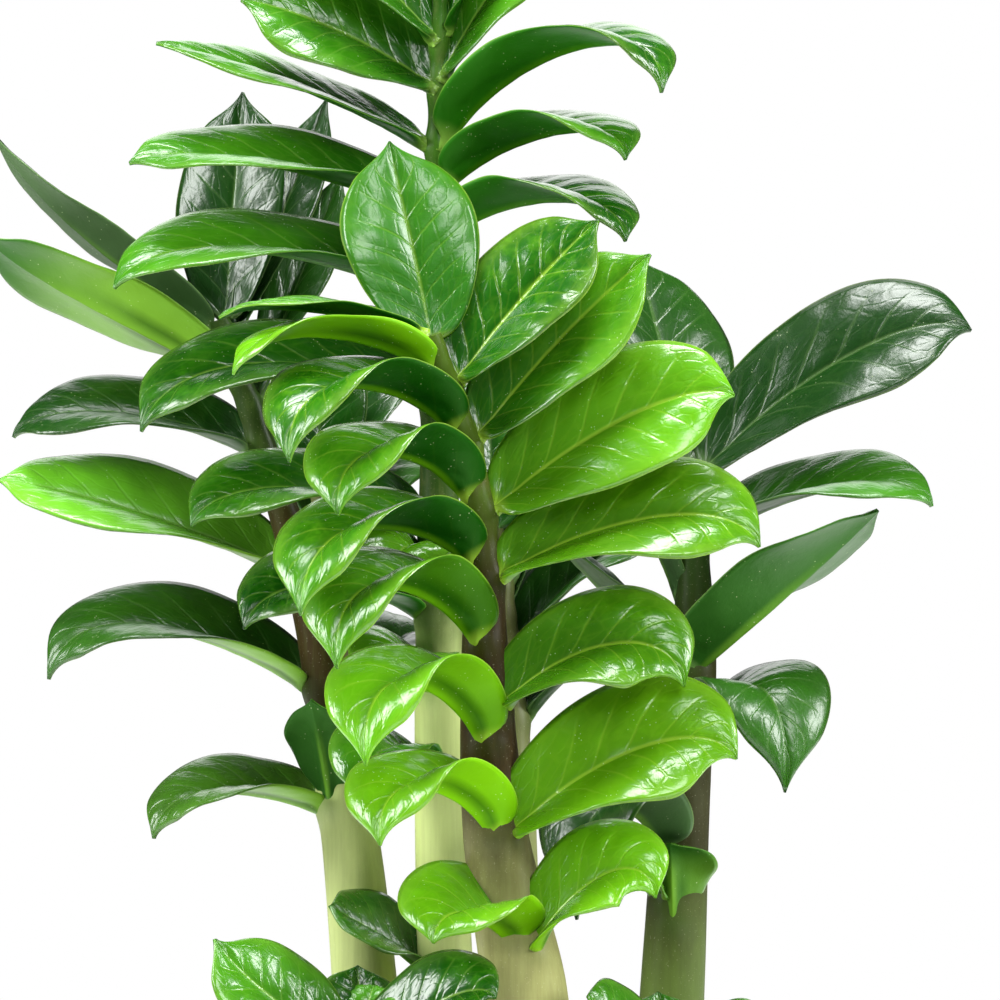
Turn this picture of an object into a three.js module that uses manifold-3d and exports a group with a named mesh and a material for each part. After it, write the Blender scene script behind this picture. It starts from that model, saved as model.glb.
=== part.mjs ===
// Potted ZZ plant of a compact kind: an aroid with curled, overlapping leaflets on thick upright
// stems, standing in a plain round grower's pot. Millimetres, +Z up, origin at the middle of
// the pot's flat underside. The plant's front, the side with the young bright frond, looks
// towards -Y.

import * as THREE from 'three';
import { mergeVertices } from 'three/addons/utils/BufferGeometryUtils.js';
import Module from 'manifold-3d';

const wasm = await Module();
wasm.setup();

// Pot: a tapered round pot with a rolled rim and four drain holes.
const POT_TOP_RADIUS = 70;
const POT_BASE_RADIUS = 51;
const POT_HEIGHT = 125;
const POT_WALL = 2.4;
const POT_FLOOR = 3;
const RIM_HEIGHT = 14;
const RIM_OVERHANG = 2.6;
const DRAIN_RADIUS = 5;
const DRAIN_CIRCLE = 34;
const DRAIN_HOLES = 4;
const ROUND_SIDES = 32;
const DRAIN_SIDES = 16;

// Soil: it fills the pot to a little below the rim.
const SOIL_TOP = 112;
const FIT_GAP = 0.35;

// Rhizome: a clump of fused tubers under the stems, all hidden in the soil.
const TUBER_TOP = 84;
const TUBER_HEIGHT = 30;
const TUBER_RADIUS = 17;
const MIDDLE_TUBER_RADIUS = 26;
const TUBER_SIDES = 8;
const TUBER_BANDS = 5;

// Leaf blades and stems.
const BLADE_THICKNESS = 1.0;
const STALK_THICKNESS = 3.2;
const STALK_WIDTH = 3.4;
const TIP_WIDTH = 0.9;
const STEM_SIDES = 8;
const STEM_STEP = 18;
const STEM_FOOT = TUBER_TOP + FIT_GAP;
const HOLE_DEPTH = 4;

// Distances under this count as one vertex, and halvings of a stretch to find a height on it.
const SAME_PLACE = 1e-4;
const HALVINGS = 30;

const rad = THREE.MathUtils.degToRad;

// A closed skin over a row of rings that all have the same number of points. The second half
// of every ring is split the other way, so that a thin blade's two faces are split alike.
function loft(rings) {
  const size = rings[0].length;
  const positions = rings.flat().flatMap((point) => [point.x, point.y, point.z]);
  const faces = [];
  for (let ring = 0; ring < rings.length - 1; ring += 1) {
    for (let side = 0; side < size; side += 1) {
      const next = (side + 1) % size;
      const a = ring * size + side;
      const b = ring * size + next;
      const c = a + size;
      const d = b + size;
      if (side < size / 2) {
        faces.push(a, d, c, a, b, d);
      } else {
        faces.push(a, b, c, b, d, c);
      }
    }
  }
  const last = (rings.length - 1) * size;
  for (let side = 1; side < size - 1; side += 1) {
    faces.push(0, side + 1, side);
    faces.push(last, last + side, last + side + 1);
  }
  const geometry = new THREE.BufferGeometry();
  geometry.setAttribute('position', new THREE.Float32BufferAttribute(positions, 3));
  geometry.setIndex(faces);
  return geometry;
}

// Turns a closed geometry into a solid that can be joined and cut.
function solid(geometry) {
  const bare = geometry.clone();
  bare.deleteAttribute('normal');
  bare.deleteAttribute('uv');
  const merged = mergeVertices(bare, SAME_PLACE);
  const mesh = new wasm.Mesh({
    numProp: 3,
    vertProperties: new Float32Array(merged.attributes.position.array),
    triVerts: new Uint32Array(merged.index.array),
  });
  return new wasm.Manifold(mesh);
}

// The largest connected body of a solid: loose scraps and sealed hollows are dropped.
function mainBody(joined) {
  const bodies = joined.decompose();
  bodies.sort((one, other) => other.volume() - one.volume());
  return bodies[0];
}

// Back from a solid to a geometry for a mesh.
function skin(body) {
  const mesh = body.getMesh();
  const geometry = new THREE.BufferGeometry();
  const positions = [];
  for (let vertex = 0; vertex < mesh.numVert; vertex += 1) {
    const start = vertex * mesh.numProp;
    positions.push(...mesh.vertProperties.slice(start, start + 3));
  }
  geometry.setAttribute('position', new THREE.Float32BufferAttribute(positions, 3));
  geometry.setIndex(Array.from(mesh.triVerts));
  geometry.computeVertexNormals();
  return geometry;
}

// A body turned round the upright axis from a closed profile of [radius, height] points.
function turned(profile, sides) {
  const points = profile.map(([radius, height]) => new THREE.Vector2(radius, height));
  const geometry = new THREE.LatheGeometry(points, sides);
  geometry.rotateX(Math.PI / 2);
  return geometry;
}

function potRadiusAt(height) {
  return THREE.MathUtils.lerp(POT_BASE_RADIUS, POT_TOP_RADIUS - RIM_OVERHANG, height / POT_HEIGHT);
}

function makePot() {
  const shell = solid(turned([
    [0, 0],
    [POT_BASE_RADIUS - 2, 0],
    [POT_BASE_RADIUS, 2],
    [potRadiusAt(POT_HEIGHT - RIM_HEIGHT), POT_HEIGHT - RIM_HEIGHT],
    [POT_TOP_RADIUS - 0.6, POT_HEIGHT - RIM_HEIGHT + 1.2],
    [POT_TOP_RADIUS, POT_HEIGHT - 2],
    [POT_TOP_RADIUS - 1.2, POT_HEIGHT],
    [potRadiusAt(POT_HEIGHT) - POT_WALL + 0.8, POT_HEIGHT],
    [potRadiusAt(POT_HEIGHT) - POT_WALL, POT_HEIGHT - 1.5],
    [potRadiusAt(POT_FLOOR) - POT_WALL, POT_FLOOR],
    [0, POT_FLOOR],
  ], ROUND_SIDES));
  let pot = shell;
  for (let hole = 0; hole < DRAIN_HOLES; hole += 1) {
    const angle = (hole + 0.5) * (2 * Math.PI) / DRAIN_HOLES;
    const drill = new THREE.CylinderGeometry(DRAIN_RADIUS, DRAIN_RADIUS, POT_FLOOR * 3, DRAIN_SIDES);
    drill.rotateX(Math.PI / 2);
    drill.translate(DRAIN_CIRCLE * Math.cos(angle), DRAIN_CIRCLE * Math.sin(angle), POT_FLOOR / 2);
    pot = pot.subtract(solid(drill));
  }
  return pot;
}

// The stem of a frond: a smooth curve through its points, [x, y, z, radius] each.
function stemCurve(points) {
  return new THREE.CatmullRomCurve3(points.map(([x, y, z]) => new THREE.Vector3(x, y, z)));
}

function stemRadiusAt(points, height) {
  for (let index = 1; index < points.length; index += 1) {
    const [, , low, lowRadius] = points[index - 1];
    const [, , high, highRadius] = points[index];
    if (height <= high) {
      const share = THREE.MathUtils.clamp((height - low) / (high - low), 0, 1);
      return THREE.MathUtils.lerp(lowRadius, highRadius, share);
    }
  }
  return points[points.length - 1][3];
}

function stemPointAt(curve, height) {
  let low = 0;
  let high = 1;
  for (let turn = 0; turn < HALVINGS; turn += 1) {
    const middle = (low + high) / 2;
    if (curve.getPoint(middle).z < height) {
      low = middle;
    } else {
      high = middle;
    }
  }
  return curve.getPoint(low);
}

// The stem as a solid, widening millimetres thicker than it is and depth millimetres longer
// at its foot, for the hole that it stands in.
function makeStem(points, widening = 0, depth = 0) {
  const curve = stemCurve(points);
  const foot = points[0][2];
  const top = points[points.length - 1][2];
  const steps = Math.ceil((top - foot) / STEM_STEP);
  const rings = [];
  for (let step = 0; step <= steps; step += 1) {
    const height = THREE.MathUtils.lerp(foot, top, step / steps);
    const middle = stemPointAt(curve, height);
    const radius = stemRadiusAt(points, height) + widening;
    const ring = [];
    for (let side = 0; side < STEM_SIDES; side += 1) {
      const angle = (side * 2 * Math.PI) / STEM_SIDES;
      ring.push(new THREE.Vector3(
        middle.x + radius * Math.cos(angle),
        middle.y + radius * Math.sin(angle),
        height,
      ));
    }
    rings.push(ring);
  }
  if (depth > 0) {
    rings.unshift(rings[0].map((point) => point.clone().setZ(foot - depth)));
  }
  return solid(loft(rings));
}

// One leaflet. It leaves the stem at the height foot and heads towards the compass angle az
// (0 is to the right, 270 is to the front). Its midrib climbs, arches over and droops: rise
// holds the heights of the arch's three guide points above the foot, reach is how far out the
// tip lies, bend how far it swings to the left of its heading, and hook the share of the reach
// where the last stretch starts: at 1 the tip hangs straight down. The two halves are folded
// up along the midrib by cup degrees at the base and open out towards the tip. seat is the
// compass angle of the side of the stem that it starts from, its own heading where none is
// given. roll turns the whole blade about its midrib, and a bent leaflet also turns its upper
// face further towards the side that it swings to. A folded blade's round base lobes sweep
// back past its foot.
const STATIONS = [0, 0.07, 0.17, 0.34, 0.54, 0.72, 0.88, 1];
const STALK_END = 0.07;
const FIRST_GUIDE = 0.22;
const BEND_BY_HOOK = 0.6;
const SWING_SHARE = 2.4;
const SEAT_DEPTH = 0.75;
const OPENING = 1.4;
const BLADE_START = 0.045;
const OUTLINE_SKEW = 1.08;
const BASE_ROUNDNESS = 0.42;
const TIP_POINT = 0.42;
const TIP_STRETCH = 0.84;
const TIP_NARROWING = 0.5;
const LOBE_SWEEP = 0.5;
const LOBE_START = 0.06;
const LOBE_END = 0.34;
const UPRIGHT = new THREE.Vector3(0, 0, 1);

// How much of a blade's stalk is left at a place along it: 1 at the foot, 0 past the stalk.
function stalkShare(along) {
  return Math.max(0, 1 - along / (2 * STALK_END));
}

function bladeHalfWidth(along, width) {
  const { lerp, smoothstep } = THREE.MathUtils;
  const blade = Math.max(0, (along - BLADE_START) / (1 - BLADE_START));
  const fullness = BASE_ROUNDNESS + TIP_POINT * blade;
  const point = lerp(1, TIP_NARROWING, smoothstep(along, TIP_STRETCH, 1));
  const outline = Math.max(0, Math.sin(Math.PI * blade ** OUTLINE_SKEW)) ** fullness * point;
  return Math.max(width * outline, lerp(TIP_WIDTH, STALK_WIDTH, stalkShare(along))) / 2;
}

function midribCurve(points, { foot, az, reach, rise, bend, hook, seat = az }) {
  const out = new THREE.Vector3(Math.cos(rad(az)), Math.sin(rad(az)), 0);
  const left = new THREE.Vector3(-Math.sin(rad(az)), Math.cos(rad(az)), 0);
  const root = stemPointAt(stemCurve(points), foot);
  const inset = stemRadiusAt(points, foot) * SEAT_DEPTH;
  root.x += inset * Math.cos(rad(seat));
  root.y += inset * Math.sin(rad(seat));
  const guide = (share, height, aside) => root.clone()
    .addScaledVector(out, (reach - inset) * share)
    .addScaledVector(left, aside)
    .setZ(root.z + height);
  return new THREE.CubicBezierCurve3(
    guide(0, 0, 0),
    guide(FIRST_GUIDE, rise[0], 0),
    guide(hook, rise[1], bend * BEND_BY_HOOK),
    guide(1, rise[2], bend),
  );
}

function makeLeaflet(points, shape) {
  const { az, reach, width, roll, cup, bend } = shape;
  const left = new THREE.Vector3(-Math.sin(rad(az)), Math.cos(rad(az)), 0);
  const midrib = midribCurve(points, shape);
  const swing = Math.atan2(bend, reach) * SWING_SHARE;
  const rings = STATIONS.map((along) => {
    const middle = midrib.getPoint(along);
    const tangent = midrib.getTangent(along);
    const side = left.clone().applyAxisAngle(UPRIGHT, swing * along);
    side.addScaledVector(tangent, -side.dot(tangent)).normalize();
    side.applyAxisAngle(tangent, rad(roll));
    const up = new THREE.Vector3().crossVectors(tangent, side).normalize();
    const half = bladeHalfWidth(along, width);
    const fold = rad(cup) * (1 - along) ** OPENING * Math.min(1, along / STALK_END);
    const thick = THREE.MathUtils.lerp(BLADE_THICKNESS, STALK_THICKNESS, stalkShare(along)) / 2;
    const nearLobe = 1 - THREE.MathUtils.smoothstep(along, LOBE_START, LOBE_END);
    const back = half * LOBE_SWEEP * Math.sin(rad(cup)) ** 2 * nearLobe;
    const corner = (across, face) => {
      const tilt = fold * Math.abs(across);
      return middle.clone()
        .addScaledVector(side, across * half * Math.cos(fold))
        .addScaledVector(up, Math.abs(across) * half * Math.sin(fold))
        .addScaledVector(tangent, -Math.abs(across) * back)
        .addScaledVector(up, face * thick * Math.cos(tilt))
        .addScaledVector(side, -across * face * thick * Math.sin(tilt));
    };
    return [
      corner(1, 1), corner(0, 1), corner(-1, 1),
      corner(-1, -1), corner(0, -1), corner(1, -1),
    ];
  });
  return solid(loft(rings));
}

function makeFrond({ stem, leaflets }) {
  let frond = makeStem(stem);
  for (const shape of leaflets) {
    frond = frond.add(makeLeaflet(stem, shape));
  }
  return mainBody(frond);
}

// Short row for the leaflet tables: foot height, compass angle, reach, three rise heights,
// width, roll, cup, bend, hook, seat.
function row(foot, az, reach, rise, width, roll, cup, bend, hook, seat) {
  return { foot, az, reach, rise, width, roll, cup, bend, hook, seat };
}

const FRONDS = {
  // The young bright frond in front.
  frond_front: {
    colour: 0x55a81e,
    stem: [
      [4, -27, STEM_FOOT, 7.2], [5, -28, 115, 9.6], [2.4, -28, 148, 8.9], [-0.6, -28, 164, 7.8],
      [-3.2, -28.5, 178, 6.9], [-4.6, -29, 194, 6.2], [-5.6, -29.5, 218, 4.9],
      [-5.8, -30, 238, 3.4], [-8.8, -31, 260, 2.5], [-16.5, -33, 284, 1.7],
    ],
    leaflets: [
      row(158, 208, 29, [5, 12, 2], 31, -12, 75, 6, 0.9, 275),
      row(180, 200, 35, [12, 19, 1], 28, 0, 74, 12, 1, 275),
      row(199, 203, 37, [15, 24, -1], 29, 0, 74, 14, 1, 265),
      row(220, 203, 41, [14, 23, -2], 29, 0, 74, 14, 1, 255),
      row(237, 200, 46, [10, 16, -8], 28, 0, 70, 16, 0.95, 225),
      row(250, 203, 37, [12, 17, -1], 27, 0, 70, 14, 1, 220),
      row(264, 200, 43, [12, 18, -4], 26, 0, 66, 14, 1, 220),
      row(277, 192, 45, [8, 13, 0], 20, 5, 60, 6, 0.9),
      row(284, 186, 44, [5, 9, 4], 15, 0, 40, 0, 0.85),
      row(155, 345, 33, [13, 27, 13], 24, 50, 58, 0, 0.9, 295),
      row(179, 350, 53, [14, 30, 18], 31, 56, 48, 0, 0.85, 300),
      row(206, 348, 43, [12, 23, 6], 26, 50, 50, 0, 0.92, 310),
      row(233, 350, 58, [10, 22, 8], 28, 46, 50, 0, 0.88, 320),
      row(247, 352, 53, [12, 30, 25], 30, 64, 30, 0, 0.8),
      row(262, 355, 38, [12, 30, 39], 27, 60, 35, 0, 0.7),
      row(274, 358, 31, [10, 26, 34], 27, 52, 40, 0, 0.7),
      row(281, 140, 13, [14, 30, 43], 29, -40, 22, 0, 0.75),
    ],
  },
  // The tall frond behind it.
  frond_tall: {
    colour: 0x2f8a1c,
    stem: [
      [-11, 6, STEM_FOOT, 5.4], [-13, 6, 120, 6.4], [-14.7, 6, 158, 5.8], [-15.3, 6, 205, 5.5],
      [-15.6, 6, 280, 3.3], [-15.6, 5, 335, 1.9], [-15, 4, 360, 1.3],
    ],
    leaflets: [
      row(146, 205, 27, [5, 12, 15], 24, -30, 45, 0, 0.85),
      row(186, 212, 22, [8, 14, -3], 24, -10, 50, 6, 1),
      row(206, 228, 22, [7, 13, 1], 25, -12, 55, 4, 0.9, 245),
      row(230, 230, 20, [7, 12, 1], 24, -12, 55, 4, 0.9, 245),
      row(222, 200, 45, [8, 12, -1], 24, -24, 50, 4, 0.9),
      row(242, 198, 56, [8, 13, 1], 25, -24, 50, 5, 0.9),
      row(268, 196, 66, [9, 15, -5], 26, -24, 50, 5, 0.9),
      row(290, 195, 71, [9, 18, 3], 27, -20, 50, 4, 0.88),
      row(307, 193, 67, [10, 17, 12], 26, -20, 50, 4, 0.85),
      row(322, 190, 60, [9, 20, 22], 22, -16, 20, 0, 0.8),
      row(334, 190, 43, [8, 18, 19], 28, -50, 35, 0, 0.75, 250),
      row(344, 185, 34, [10, 24, 30], 24, -40, 35, 0, 0.75, 250),
      row(304, 338, 46, [8, 12, -1], 25, 0, 58, -9, 0.95),
      row(314, 338, 46, [10, 18, 6], 25, 0, 60, -9, 0.95),
      row(322, 340, 54, [20, 32, 12], 26, 0, 62, -9, 1, 290),
      row(336, 350, 26, [12, 30, 33], 25, 50, 35, 0, 0.75, 290),
      row(346, 340, 16, [10, 20, 30], 20, 40, 35, 0, 0.75),
      row(357, 100, 6, [10, 20, 26], 18, 0, 25, 0, 0.75),
    ],
  },
  // The older dark frond on the left.
  frond_left: {
    colour: 0x1f6b1b,
    stem: [
      [-28, 12, STEM_FOOT, 6.2], [-30, 13, 118, 7.6], [-33.8, 14, 164, 6.5],
      [-36, 15, 181, 6.0], [-42.4, 17, 219, 4.4], [-52, 20, 252, 3.0], [-63, 22, 284, 2.0],
    ],
    leaflets: [
      row(179, 188, 42, [4, 10, -5], 25, -12, 50, 5, 0.95),
      row(181, 240, 13, [7, 17, 23], 17, 10, 25, 0, 0.75, 235),
      row(205, 185, 60, [10, 25, 3], 27, -22, 55, 4, 0.92),
      row(230, 182, 65, [8, 20, 20], 29, -30, 48, 0, 0.85),
      row(256, 181, 54, [7, 13, 3], 27, -22, 40, 0, 0.88),
      row(272, 180, 55, [8, 19, 31], 29, 34, 25, 0, 0.8),
      row(281, 174, 50, [10, 20, 43], 17, 36, 45, 0, 0.7),
      row(282, 65, 10, [16, 36, 51], 27, 0, 20, 0, 0.75),
      row(266, 40, 26, [16, 34, 50], 14, 40, 68, 0, 0.7),
      row(279, 45, 30, [16, 34, 53], 14, 40, 68, 0, 0.7),
    ],
  },
  // The older dark frond on the right.
  frond_right: {
    colour: 0x1f6b1b,
    stem: [
      [32, 9, STEM_FOOT, 6.4], [33.5, 9, 118, 7.4], [35, 9, 148, 6.8], [37, 9, 186, 5.8],
      [39.5, 10, 213, 4.4], [38, 11, 254, 2.2],
    ],
    leaflets: [
      row(250, 352, 60, [18, 40, 33], 31, 50, 35, 0, 0.8),
      row(238, 345, 52, [9, 19, 8], 26, 18, 42, 0, 0.9),
      row(210, 352, 44, [6, 26, 35], 35, -22, 50, 0, 0.8, 240),
      row(199, 330, 27, [9, 17, -13], 30, 5, 36, -8, 1),
      row(171, 207, 30, [12, 22, -12], 31, 0, 50, 6, 1, 238),
      row(156, 262, 12, [7, 16, 18], 20, 0, 48, 0, 0.85),
      row(160, 150, 8, [7, 14, 16], 18, -10, 40, 0, 0.8, 245),
      row(209, 168, 40, [12, 28, 38], 20, 10, 45, 0, 0.8),
      row(224, 150, 22, [12, 24, 33], 20, 20, 45, 0, 0.8),
      row(252, 118, 24, [16, 37, 45], 36, 10, 20, 0, 0.75),
    ],
  },
  // Two short fronds low down in front.
  frond_low_left: {
    colour: 0x2f8a1c,
    stem: [[-24, -30, STEM_FOOT, 4.2], [-27, -34, 112, 4.6], [-33, -40, 136, 2.8]],
    leaflets: [
      row(124, 170, 26, [8, 17, 22], 25, -52, 35, 0, 0.8),
      row(128, 100, 9, [10, 20, 24], 22, 20, 25, 0, 0.75),
      row(132, 190, 30, [9, 18, 28], 25, -50, 28, 0, 0.8),
      row(134, 345, 30, [8, 20, 14], 24, 40, 40, 0, 0.9),
      row(134, 60, 8, [8, 14, 14], 16, 0, 30, 0, 0.75),
    ],
  },
  frond_low_right: {
    colour: 0x2f8a1c,
    stem: [[24, -26, STEM_FOOT, 3.8], [28, -32, 112, 4.2], [33, -37, 126, 2.6]],
    leaflets: [
      row(117, 320, 24, [10, 20, 12], 20, 20, 40, 0, 0.85),
      row(123, 205, 18, [10, 24, 25], 24, -45, 35, 0, 0.8),
      row(124, 350, 20, [10, 20, 18], 20, 30, 35, 0, 0.8),
      row(124, 100, 10, [10, 18, 22], 19, 0, 25, 0, 0.75),
    ],
  },
};

// Two older fronds at the back, grown by rule: leaflets in pairs, each pair a step higher,
// shorter and steeper than the last.
const REAR_WIDTH = 23;
const REAR_LENGTHS = [46, 28];
const REAR_CLIMBS = [6, 30];
const REAR_ARCH = 16;

function rearFrond(stem, lowest, pairs, step, leftAz, rightAz) {
  const leaflets = [];
  for (let pair = 0; pair < pairs; pair += 1) {
    const share = pair / (pairs - 1);
    const foot = lowest + pair * step;
    const length = THREE.MathUtils.lerp(...REAR_LENGTHS, share);
    const climb = THREE.MathUtils.lerp(...REAR_CLIMBS, share);
    const rise = [12, climb * 0.6 + REAR_ARCH, climb];
    leaflets.push(row(foot, leftAz, length, rise, REAR_WIDTH, -15, 45, 0, 0.85));
    leaflets.push(row(foot + step / 2, rightAz, length, rise, REAR_WIDTH, 15, 45, 0, 0.85));
  }
  const top = stem[stem.length - 1][2];
  leaflets.push(row(top - 2, 100, 9, [12, 26, 38], 22, 0, 25, 0, 0.75));
  return { colour: 0x1f6b1b, stem, leaflets };
}

FRONDS.frond_rear_left = rearFrond([
  [-24, 30, STEM_FOOT, 5.0], [-31, 38, 116, 5.6], [-35, 44, 181, 4.6], [-39, 48, 219, 3.4],
  [-42, 51, 246, 2.0],
], 190, 4, 15, 95, 62);
FRONDS.frond_rear_right = rearFrond([
  [2, 32, STEM_FOOT, 4.6], [2, 36, 116, 5.0], [1, 43, 176, 4.2], [-2, 48, 216, 3.2],
  [-4, 51, 236, 2.0],
], 172, 4, 15, 84, 15);

const material = (colour, roughness) => new THREE.MeshStandardMaterial({
  color: colour, roughness, metalness: 0,
});

function place(name, body, finish) {
  const mesh = new THREE.Mesh(skin(body), finish);
  mesh.name = name;
  return mesh;
}

// Flattened balls, one under each stem and one in the middle, fused into one clump.
function makeRhizome(widening) {
  const makeTuber = (x, y, radius) => {
    const tuber = new THREE.SphereGeometry(1, TUBER_SIDES, TUBER_BANDS);
    tuber.rotateX(Math.PI / 2);
    tuber.scale(radius + widening, radius + widening, TUBER_HEIGHT / 2 + widening);
    tuber.translate(x, y, TUBER_TOP - TUBER_HEIGHT / 2);
    return solid(tuber);
  };
  let clump = makeTuber(0, 0, MIDDLE_TUBER_RADIUS);
  for (const { stem } of Object.values(FRONDS)) {
    clump = clump.add(makeTuber(stem[0][0], stem[0][1], TUBER_RADIUS));
  }
  return clump;
}

function makeSoil() {
  const soilFloor = POT_FLOOR + FIT_GAP;
  const inner = (height) => potRadiusAt(height) - POT_WALL - FIT_GAP;
  let soil = solid(turned([
    [0, soilFloor],
    [inner(soilFloor), soilFloor],
    [inner(SOIL_TOP), SOIL_TOP],
    [0, SOIL_TOP],
  ], ROUND_SIDES));
  for (const { stem } of Object.values(FRONDS)) {
    soil = soil.subtract(makeStem(stem, FIT_GAP, HOLE_DEPTH));
  }
  return mainBody(soil.subtract(makeRhizome(FIT_GAP)));
}

const plant = new THREE.Group();
plant.add(place('pot', makePot(), material(0x4a4f52, 0.55)));
plant.add(place('soil', makeSoil(), material(0x2c2018, 0.95)));
plant.add(place('rhizome', makeRhizome(0), material(0xb9a06a, 0.7)));
for (const [name, frond] of Object.entries(FRONDS)) {
  plant.add(place(name, makeFrond(frond), material(frond.colour, 0.3)));
}

export default plant;
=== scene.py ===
import math
import random

import bmesh
import bpy
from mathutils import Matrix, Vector


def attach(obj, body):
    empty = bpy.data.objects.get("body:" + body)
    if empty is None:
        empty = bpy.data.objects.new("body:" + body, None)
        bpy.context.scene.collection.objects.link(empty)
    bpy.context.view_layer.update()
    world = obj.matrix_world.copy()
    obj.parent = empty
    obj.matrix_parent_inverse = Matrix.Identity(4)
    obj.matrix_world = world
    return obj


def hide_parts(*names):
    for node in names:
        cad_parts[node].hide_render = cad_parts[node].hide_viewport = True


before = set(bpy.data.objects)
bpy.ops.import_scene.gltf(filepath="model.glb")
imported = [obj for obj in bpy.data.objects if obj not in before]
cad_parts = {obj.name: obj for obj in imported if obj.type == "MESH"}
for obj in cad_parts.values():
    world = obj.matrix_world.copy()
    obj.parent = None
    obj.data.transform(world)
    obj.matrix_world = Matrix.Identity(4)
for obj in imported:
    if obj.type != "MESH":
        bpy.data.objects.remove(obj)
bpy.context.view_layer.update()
scene = bpy.context.scene

# Camera. It stands in front of the plant, a little higher than the leaves that it looks at,
# with a long lens, and takes in 210 mm of the leafy part. The pot is below the view.
MM = 0.001
VIEW_CENTRE = Vector((-2.5, -15, 248.5)) * MM
VIEW_WIDTH = 210 * MM
VIEW_DISTANCE = 1300 * MM
VIEW_ELEVATION = math.radians(5)
SENSOR_WIDTH = 36
FARTHEST_SEEN = 20


def set_down(name, data):
    """Adds an object with its data to the scene, at the origin."""
    made = bpy.data.objects.new(name, data)
    scene.collection.objects.link(made)
    return made


camera = set_down("camera", bpy.data.cameras.new("camera"))
camera.data.sensor_width = SENSOR_WIDTH
camera.data.lens = SENSOR_WIDTH * VIEW_DISTANCE / VIEW_WIDTH
camera.data.clip_end = FARTHEST_SEEN
towards_camera = Vector((0, -math.cos(VIEW_ELEVATION), math.sin(VIEW_ELEVATION)))
camera.location = VIEW_CENTRE + VIEW_DISTANCE * towards_camera
camera.rotation_euler = (math.pi / 2 - VIEW_ELEVATION, 0, 0)
scene.camera = camera

# Studio. A round sheet of white paper to stand on, white all round, and soft boxes at both
# sides, overhead, in front and behind, as for a plant cut out on white.
FLOOR_RADIUS = 700 * MM
FLOOR_SIDES = 96
LIGHT_TARGET = Vector((0, 0, 260)) * MM
SURROUND_AS_LIGHT = 0.07
SURROUND_AS_SEEN = 1.0


def screen_colour(code):
    """A six-digit screen colour as the linear numbers that a material takes."""
    parts = [int(code[start:start + 2], 16) / 255 for start in (0, 2, 4)]
    return [p / 12.92 if p <= 0.04045 else ((p + 0.055) / 1.055) ** 2.4 for p in parts] + [1]


def soft_box(name, place, width, power):
    lamp = bpy.data.lights.new(name, "AREA")
    lamp.size = width * MM
    lamp.energy = power
    box = set_down(name, lamp)
    box.location = Vector(place) * MM
    box.rotation_euler = (LIGHT_TARGET - box.location).to_track_quat("-Z", "Y").to_euler()


soft_box("soft box left", place=(-1150, -330, 760), width=620, power=25)
soft_box("soft box right", place=(1150, -300, 700), width=520, power=20)
soft_box("soft box overhead", place=(-100, -150, 1500), width=620, power=30)
soft_box("soft box front", place=(300, -1150, 1020), width=560, power=12)
soft_box("soft box behind", place=(0, 1300, 900), width=900, power=6)


def put(socket, value):
    """Links a field or a node's output to a socket, or sets the socket's own value."""
    source = value.socket if isinstance(value, Field) else value
    if isinstance(source, bpy.types.NodeSocket):
        socket.id_data.links.new(source, socket)
    else:
        socket.default_value = source


def add_node(tree, kind, sockets=(), **settings):
    """Adds a node with its settings, and feeds its sockets by name or number."""
    made = tree.nodes.new("ShaderNode" + kind if hasattr(bpy.types, "ShaderNode" + kind) else kind)
    for name, value in settings.items():
        setattr(made, name, value)
    for name, value in dict(sockets).items():
        put(made.inputs[name], value)
    return made


class Field:
    """A number at each point of a surface, worked out by nodes. Arithmetic on it adds nodes."""

    def __init__(self, socket):
        self.socket = socket
        self.tree = socket.id_data

    def maths(self, operation, *others):
        values = dict(enumerate((self, *others)))
        return Field(add_node(self.tree, "Math", values, operation=operation).outputs[0])

    def __add__(self, other):
        return self.maths("ADD", other)

    def __mul__(self, other):
        return self.maths("MULTIPLY", other)

    def __sub__(self, other):
        return self.maths("SUBTRACT", other)

    def __rsub__(self, other):
        return self * -1 + other

    def __truediv__(self, other):
        return self.maths("DIVIDE", other)

    def __pow__(self, other):
        return self.maths("POWER", other)

    def __abs__(self):
        return self.maths("ABSOLUTE")

    def ramp(self, low, high, first=0.0, last=1.0):
        """Goes smoothly from first at low to last at high, and stays level outside them."""
        values = {"Value": self, "From Min": low, "From Max": high, "To Min": first, "To Max": last}
        made = add_node(self.tree, "MapRange", values, interpolation_type="SMOOTHSTEP")
        return Field(made.outputs[0])


def noise(tree, place, scale, detail=2.0, roughness=0.5):
    values = {"Vector": place, "Scale": scale, "Detail": detail, "Roughness": roughness}
    return Field(add_node(tree, "TexNoise", values).outputs[0])


def mixed(share, first, second):
    """A colour between two colours; either is a screen colour or another mixed colour."""
    ends = [screen_colour(end) if isinstance(end, str) else end for end in (first, second)]
    values = {0: share, 6: ends[0], 7: ends[1]}
    return Field(add_node(share.tree, "Mix", values, data_type="RGBA").outputs[2])


def new_finish(name):
    """A new material with its tree, its shader and the place of each point in metres."""
    finish = bpy.data.materials.new(name)
    finish.use_nodes = True
    tree = finish.node_tree
    place = add_node(tree, "TexCoord").outputs["Object"]
    return finish, tree, tree.nodes["Principled BSDF"], place


def raise_surface(shader, height, distance, strength=1.0):
    """Bumps the surface by a height field of 0 to 1 over the given distance."""
    values = {"Height": height, "Distance": distance, "Strength": strength}
    put(shader.inputs["Normal"], add_node(height.tree, "Bump", values).outputs[0])


world = bpy.data.worlds.new("white surround")
scene.world = world
world.use_nodes = True
surround = world.node_tree.nodes["Background"]
surround.inputs["Color"].default_value = (1, 1, 1, 1)
seen_directly = add_node(world.node_tree, "LightPath").outputs["Is Camera Ray"]
brightness = add_node(world.node_tree, "MapRange", {
    "Value": seen_directly, "To Min": SURROUND_AS_LIGHT, "To Max": SURROUND_AS_SEEN,
})
put(surround.inputs["Strength"], brightness.outputs["Result"])
scene.view_settings.view_transform = "Standard"


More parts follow.
